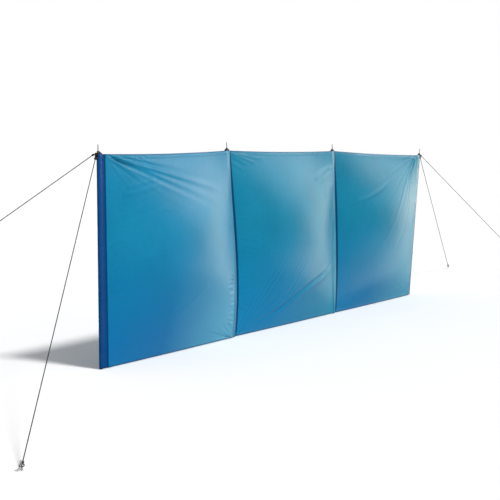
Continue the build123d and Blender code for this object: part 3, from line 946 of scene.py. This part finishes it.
def pocket_finish(settings, i):
    """The pole pockets' finishes, stitched down their seams.

    The first shows its doubled cloth from the front, dark all over as painted shade, with a painted-shade band where it
    wraps its pole and a dark doubled seam. The last has a painted-shade band only on its outer edge.
    """
    if i == 0:
        # Pocket 1 is dark all over as painted shade; its band from 70 mm round is painted shade where it wraps its
        # pole, and the band by its seam is the doubled seam.
        dim = tuple(c * 0.4 for c in settings.glow)
        return finish_named("dark pocket cloth", cloth_finish, tuple(settings.pocket_colour_and_shade), dim, 0.15,
                            upright_rows=(0.0145,), bands=(("X", -0.002, 0.013), ("X", 0.070, 0.2)), shine=0.015)
    colour, glow = toned(settings, i - 1)
    # Pocket 4's band from 48 mm round is painted shade where it wraps its pole.
    rows, bands = ((0.005,), (("X", 0.048, 0.2),)) if i == 3 else ((0.005, 0.026), ())
    return finish_named(f"pocket cloth {i + 1}", cloth_finish, colour, glow, 0.18, upright_rows=rows, bands=bands)


class WINDBREAK_OT_bays(bpy.types.Operator):
    """Three billowed bays of cloth between the pole pockets"""

    bl_idname = "windbreak.bays"
    bl_label = "Bays"

    def execute(self, context):
        cloth = context.scene.windbreak_cloth
        for i in range(3):
            low, high = HEM_LOW - 0.005, HEM_HIGH + 0.005
            u, v = np.meshgrid(np.linspace(-0.002, 1.002, cloth.columns), np.linspace(low, high, 148))
            points = bay_at(i, u, v, cloth)
            made = Shell().grid(points, arc_uv(points, v, TOPS[i][2])).piece(f"bay_cloth_{i + 1}", bay_finish(cloth, i))
            thicken(made, cloth.thickness)
            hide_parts(f"panel_{i + 1}")
        return {"FINISHED"}


class WINDBREAK_OT_hems(bpy.types.Operator):
    """Folded and stitched hems along the top and bottom of each bay"""

    bl_idname = "windbreak.hems"
    bl_label = "Hems"

    def execute(self, context):
        cloth = context.scene.windbreak_cloth
        for i in range(3):
            for label, low, high in (("bottom", 0.0, HEM_LOW), ("top", HEM_HIGH, 1.0)):
                self.hem(cloth, i, label, low, high)
        return {"FINISHED"}

    def hem(self, cloth, i, label, low, high):
        """A flat tube round the cloth's edge: height = middle + half * cos(turn), offset = 1.4 mm * sin(turn)^0.3."""
        turn = np.linspace(0, 2 * np.pi, 21)
        u = np.linspace(-0.001, 1.001, cloth.columns)
        grid_u, grid_turn = np.meshgrid(u, turn, indexing="ij")
        outer = -1.0 if label == "bottom" else 1.0
        v = (low + high) / 2 + outer * (high - low) / 2 * np.cos(grid_turn)
        along = grid_u * 1.45
        pucker = 0.0005 * np.sin(along * 2 * np.pi / 0.017 + 2.1 * np.sin(along * 9))
        flat = np.sign(np.sin(grid_turn)) * np.abs(np.sin(grid_turn)) ** 0.3
        offset = (0.0014 + pucker * np.sin(grid_turn / 2) ** 2) * flat * outer
        points = bay_at(i, grid_u, v, cloth, offset)
        from_edge = (1 - np.cos(grid_turn)) / 2 * (high - low) * TOPS[i][2]
        uvs = np.stack([along, from_edge], -1)
        shell = Shell().grid(points[:, :-1], uvs, closed=True, capped=True)
        made = shell.piece(f"{label}_hem_cloth_{i + 1}", hem_finish(cloth, i, label))
        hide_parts(f"{label}_hem_{i + 1}")


class WINDBREAK_OT_pockets(bpy.types.Operator):
    """Pockets of doubled cloth round the four poles"""

    bl_idname = "windbreak.pockets"
    bl_label = "Pole pockets"

    def execute(self, context):
        cloth = context.scene.windbreak_cloth
        for i in range(4):
            around = (np.arange(56)) / 56
            v, across = np.meshgrid(np.linspace(0, 1, 170), around, indexing="ij")
            x, y = pocket_outline(i, v, across)
            centre = pole_at(i, cloth_height(i, v))
            height = v * TOPS[i][2]
            ring = np.concatenate([x, x[:, :1]], 1), np.concatenate([y, y[:, :1]], 1)
            step = np.hypot(np.diff(ring[0], axis=1), np.diff(ring[1], axis=1)).mean(axis=0)
            girth = np.concatenate([[0], np.cumsum(step)])
            side = np.where(np.sin(2 * np.pi * across) >= 0, 1.0, -1.0)
            wrinkle = self.wrinkles(i, x, height, side)
            grow = np.clip((np.abs(y) - 0.0005) / 0.002, 0, 1)
            points = centre + np.stack([x, y + side * wrinkle * grow, 0 * x], -1)
            lap = girth[-1] if i in (0, 3) else girth[-1] / 2
            from_seam = np.abs((girth + lap / 2) % lap - lap / 2)
            if i == 3:
                from_seam = lap / 2 - from_seam
            uvs = np.stack(np.broadcast_arrays(from_seam[None], v[:, :1] * TOPS[i][2]), -1)
            made = Shell().grid(points, uvs, closed=True).piece(f"pole_pocket_{i + 1}", pocket_finish(cloth, i))
            thicken(made, cloth.thickness)
            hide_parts(f"sleeve_{i + 1}")
        return {"FINISHED"}

    def wrinkles(self, i, x, height, side):
        """Short creases across a pocket, more and deeper near its top."""
        place = x + 0.09 * (side + 1)
        low, high = float(place.min()), float(place.max())
        top = float(TOPS[i][2])
        many = scatter(place, height, 60 + i, 60, (low, high, 0.02, top),
                       (-35, 35), (0.010, 0.035), (0.008, 0.020), (0.0002, 0.0009))
        upper = scatter(place, height, 70 + i, 22, (low, high, top - 0.16, top),
                        (-40, 40), (0.010, 0.03), (0.007, 0.014), (0.0006, 0.0018))
        return np.clip(many + upper, -0.0004, 0.004)


class WINDBREAK_OT_poles(bpy.types.Operator):
    """Steel finish for the tubes, and the turned pins on their ends"""

    bl_idname = "windbreak.poles"
    bl_label = "Poles and pins"

    def execute(self, context):
        fittings = context.scene.windbreak_fittings
        steel = finish_named("pole steel", metal_finish, tuple(c * 0.2 for c in fittings.steel_colour), 0.5, 0.25)
        pin_steel = finish_named("pin steel", metal_finish, tuple(c * 0.34 for c in fittings.steel_colour), 0.5, 0.3)
        for i in range(4):
            tube = frame["nodes"][f"pole_tube_{i + 1}"]
            for k in range(len(tube.material_slots)):
                tube.material_slots[k].link = "OBJECT"
                tube.material_slots[k].material = steel
            made = turned(Shell(), PIN_PROFILE, TOPS[i], AXES[i]).piece(f"pole_pin_{i + 1}", pin_steel)
            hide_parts(f"top_pin_{i + 1}")
        return {"FINISHED"}


class WINDBREAK_OT_straps(bpy.types.Operator):
    """Webbing over the pole tops with its eyelets, and the corner loops for the guy lines"""

    bl_idname = "windbreak.straps"
    bl_label = "Straps and loops"

    def execute(self, context):
        fittings = context.scene.windbreak_fittings
        webbing = finish_named("black webbing", webbing_finish, tuple(fittings.webbing_colour))
        plate = finish_named("dull eyelet plate", metal_finish, (0.03, 0.03, 0.032), 0.5, 0.1)
        for i in range(4):
            across = level_side(i)
            back = np.cross(AXES[i], across)
            left, right = STRAP_REACH[i]
            flat = rounded([(-left, 0.001), (-left * 0.6, 0.011), (-0.010, 0.0195),
                            (0.010, 0.0195), (right * 0.6, 0.011), (right, 0.001)], 3)
            path = TOPS[i] + flat[:, :1] * across + flat[:, 1:] * AXES[i]
            section = slab(fittings.strap_width, 0.0016)
            bend = np.radians(58 + 14 * np.clip((np.abs(flat[:, 0]) - 0.008) / 0.02, 0, 1))[:, None]
            taper = 1 - 0.65 * np.clip(np.abs(flat[:, :1]) / max(left, right), 0, 1)
            w = section[None, :, 0] * taper
            t = section[None, :, 1]
            folded = np.stack([w * np.cos(bend), t - np.abs(w) * np.sin(bend)], -1)
            points = self.band(path, back, folded)
            made = Shell().swept(points, path, section).piece(f"pole_strap_{i + 1}", webbing)
            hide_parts(f"top_strap_{i + 1}")

            made = self.ring(EYELET_PROFILE, TOPS[i], AXES[i]).piece(f"strap_eyelet_{i + 1}", plate)
            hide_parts(f"eyelet_{i + 1}")

        for i, out, label in ((0, -1.0, "left"), (3, 1.0, "right")):
            across = level_side(i)
            back = np.cross(AXES[i], across)
            flat = rounded(LOOP_CORNERS, 4, closed=True)
            flat = np.vstack([flat, flat[:1]]) * [out, 1]
            path = TOPS[i] + flat[:, :1] * across + flat[:, 1:] * AXES[i]
            section = slab(0.014, 0.0014)
            points = self.band(path, back, np.broadcast_to(section[None], (len(path),) + section.shape))
            if out < 0:
                points = points[::-1]
            made = Shell().swept(points, path, section, capped=False).piece(f"guy_loop_{label}", webbing)
            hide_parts(f"corner_loop_{label}")
        return {"FINISHED"}

    def band(self, path, back, section):
        """A band whose width lies along back: point = path + back * width + (tangent x back) * height."""
        tangent = unit(np.gradient(path, axis=0))
        over = unit(np.cross(tangent, np.broadcast_to(back, tangent.shape)))
        return path[:, None] - back * section[..., :1] + over[:, None] * section[..., 1:]

    def ring(self, profile, centre, axis, sides=40):
        """A closed profile turned round an axis."""
        angle = np.arange(sides + 1) * 2 * np.pi / sides
        rim = around_axis(axis, angle)
        points = centre + rim[:, None] * profile[None, ::-1, :1] + axis * profile[None, ::-1, 1:]
        uvs = np.stack(np.broadcast_arrays(angle[:, None] * 0.008, np.arange(len(profile) + 1)[None] * 0.002), -1)
        return Shell().grid(points, uvs, closed=True)


def guy_ends(name):
    """Where a guy line's two eyes are, and the directions they are turned in."""
    i, out = (0, -1.0) if name.startswith("left") else (3, 1.0)
    across = level_side(i)
    head, heel = LOOP_CORNERS[1:3]
    place = 0.18 if name in ("left_back", "right_front") else 0.8
    tie = head + (heel - head) * place
    upper = TOPS[i] + across * out * (tie[0] - 0.0008) + AXES[i] * tie[1]
    band = unit(across * out * (head - heel)[0] + AXES[i] * (head - heel)[1])
    peg = PEG_POINTS[name]
    away = unit(peg - FEET[i])
    shaft = unit(away * math.sin(PEG_LEAN) + UP * math.cos(PEG_LEAN))
    lower = peg + shaft * 0.024
    return upper, band, lower, shaft


class WINDBREAK_OT_guys(bpy.types.Operator):
    """Taut guy lines, with an eye and a wrapped knot at both ends"""

    bl_idname = "windbreak.guys"
    bl_label = "Guy lines"

    def execute(self, context):
        fittings = context.scene.windbreak_fittings
        radius = fittings.cord_radius
        finish = finish_named("guy cord", cord_finish, tuple(fittings.cord_colour))
        for name in PEG_NAMES:
            upper, band, lower, shaft = guy_ends(name)
            shell = Shell()
            start = self.eye(shell, upper, band, lower - upper, radius)
            end = self.eye(shell, lower, shaft, upper - lower, radius)
            pull = unit(end - start)
            length = np.linalg.norm(end - start)
            place = np.linspace(0, length, int(length / 0.012))
            path = start + pull * place[:, None]
            section = circle(radius, 12)
            shell.swept(sweep(path, UP, section), path, section)
            self.knot(shell, start, pull, radius)
            self.knot(shell, end, -pull, radius)
            made = shell.piece(f"guy_cord_{name}", finish)
            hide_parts(f"guy_line_{name}")
        return {"FINISHED"}

    def eye(self, shell, centre, through, line, radius):
        """A round eye about a band or shaft; returns the place where its line leaves.

        Point = centre + the eye's radius * (cos, sin) in the plane square to the band.
        """
        toward = unit(line - through * (line @ through))
        side = np.cross(through, toward)
        angle = np.linspace(0, 2 * np.pi, 41)[:, None]
        path = centre + EYE_RADIUS * (toward * np.cos(angle) + side * np.sin(angle))
        section = circle(radius, 12)
        shell.swept(sweep(path, through, section), path, section, capped=False)
        return centre + toward * EYE_RADIUS

    def knot(self, shell, start, pull, radius):
        """Three and a half turns of cord wrapped round the line: a helix of radius 1.7 cords."""
        side = unit(np.cross(pull, UP))
        over = np.cross(side, pull)
        t = np.linspace(0, 1, 100)[:, None]
        turn = t * 2 * np.pi * 3.5
        path = start + pull * (0.001 + 0.014 * t) + 1.7 * radius * (side * np.cos(turn) + over * np.sin(turn))
        section = circle(radius * 0.95, 10)
        shell.swept(sweep(path, pull, section), path, section)


class WINDBREAK_OT_pegs(bpy.types.Operator):
    """Bent wire pegs at ground level"""

    bl_idname = "windbreak.pegs"
    bl_label = "Pegs"

    def execute(self, context):
        fittings = context.scene.windbreak_fittings
        steel = finish_named("peg steel", metal_finish, tuple(c * 0.6 for c in fittings.steel_colour), 0.45, 0.2)
        rise = np.array([math.sin(PEG_LEAN), math.cos(PEG_LEAN)])
        level = np.array([math.cos(PEG_LEAN), -math.sin(PEG_LEAN)])
        for name in PEG_NAMES:
            i = 0 if name.startswith("left") else 3
            peg = PEG_POINTS[name]
            away = unit(peg - FEET[i])
            neck = rise * 0.046
            angle = np.linspace(np.pi, 0, 25)[:, None]
            hook = neck + level * 0.009 + 0.009 * (level * np.cos(angle) + rise * np.sin(angle))
            tail = neck + level * 0.018 - rise * np.array([0.004, 0.008, 0.0088, 0.009])[:, None]
            flat = np.vstack([rise * np.linspace(0, 0.044, 12)[:, None], hook, tail])
            path = peg + flat[:, :1] * away + flat[:, 1:] * UP
            radii = np.full(len(path), 1.0)
            radii[-3:] = (0.97, 0.75, 0.35)
            section = circle(0.0032, 20)
            normal = np.cross(away, UP)
            points = sweep(path, normal, section, radii)
            tangent = unit(path[1] - path[0])
            points[0] -= tangent * (points[0][:, 2:] / tangent[2])
            made = Shell().swept(points, path, section).piece(f"ground_peg_{name}", steel)
            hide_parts(f"guy_peg_{name}")
        return {"FINISHED"}


class WINDBREAK_PT_panel(bpy.types.Panel):
    """Sizes, colours and pieces of the windbreak"""

    bl_idname = "WINDBREAK_PT_panel"
    bl_label = "Windbreak"
    bl_space_type = "VIEW_3D"
    bl_region_type = "UI"
    bl_category = "Windbreak"

    def draw(self, context):
        for group in (context.scene.windbreak_cloth, context.scene.windbreak_fittings, context.scene.windbreak_stage):
            box = self.layout.box()
            for name in group.__annotations__:
                box.prop(group, name)
        for operator in OPERATORS:
            self.layout.operator(operator.bl_idname)


SETTINGS = (ClothSettings, FittingSettings, StageSettings)
OPERATORS = (
    WINDBREAK_OT_stage,
    WINDBREAK_OT_bays,
    WINDBREAK_OT_hems,
    WINDBREAK_OT_pockets,
    WINDBREAK_OT_poles,
    WINDBREAK_OT_straps,
    WINDBREAK_OT_guys,
    WINDBREAK_OT_pegs,
)


def register():
    for cls in (*SETTINGS, *OPERATORS, WINDBREAK_PT_panel):
        bpy.utils.register_class(cls)
    bpy.types.Scene.windbreak_cloth = PointerProperty(type=ClothSettings)
    bpy.types.Scene.windbreak_fittings = PointerProperty(type=FittingSettings)
    bpy.types.Scene.windbreak_stage = PointerProperty(type=StageSettings)


def unregister():
    del bpy.types.Scene.windbreak_cloth, bpy.types.Scene.windbreak_fittings, bpy.types.Scene.windbreak_stage
    for cls in reversed((*SETTINGS, *OPERATORS, WINDBREAK_PT_panel)):
        bpy.utils.unregister_class(cls)


def main():
    """Builds every piece."""
    register()
    bpy.ops.windbreak.stage()
    bpy.ops.windbreak.bays()
    bpy.ops.windbreak.hems()
    bpy.ops.windbreak.pockets()
    bpy.ops.windbreak.poles()
    bpy.ops.windbreak.straps()
    bpy.ops.windbreak.guys()
    bpy.ops.windbreak.pegs()


if __name__ == "__main__":
    main()
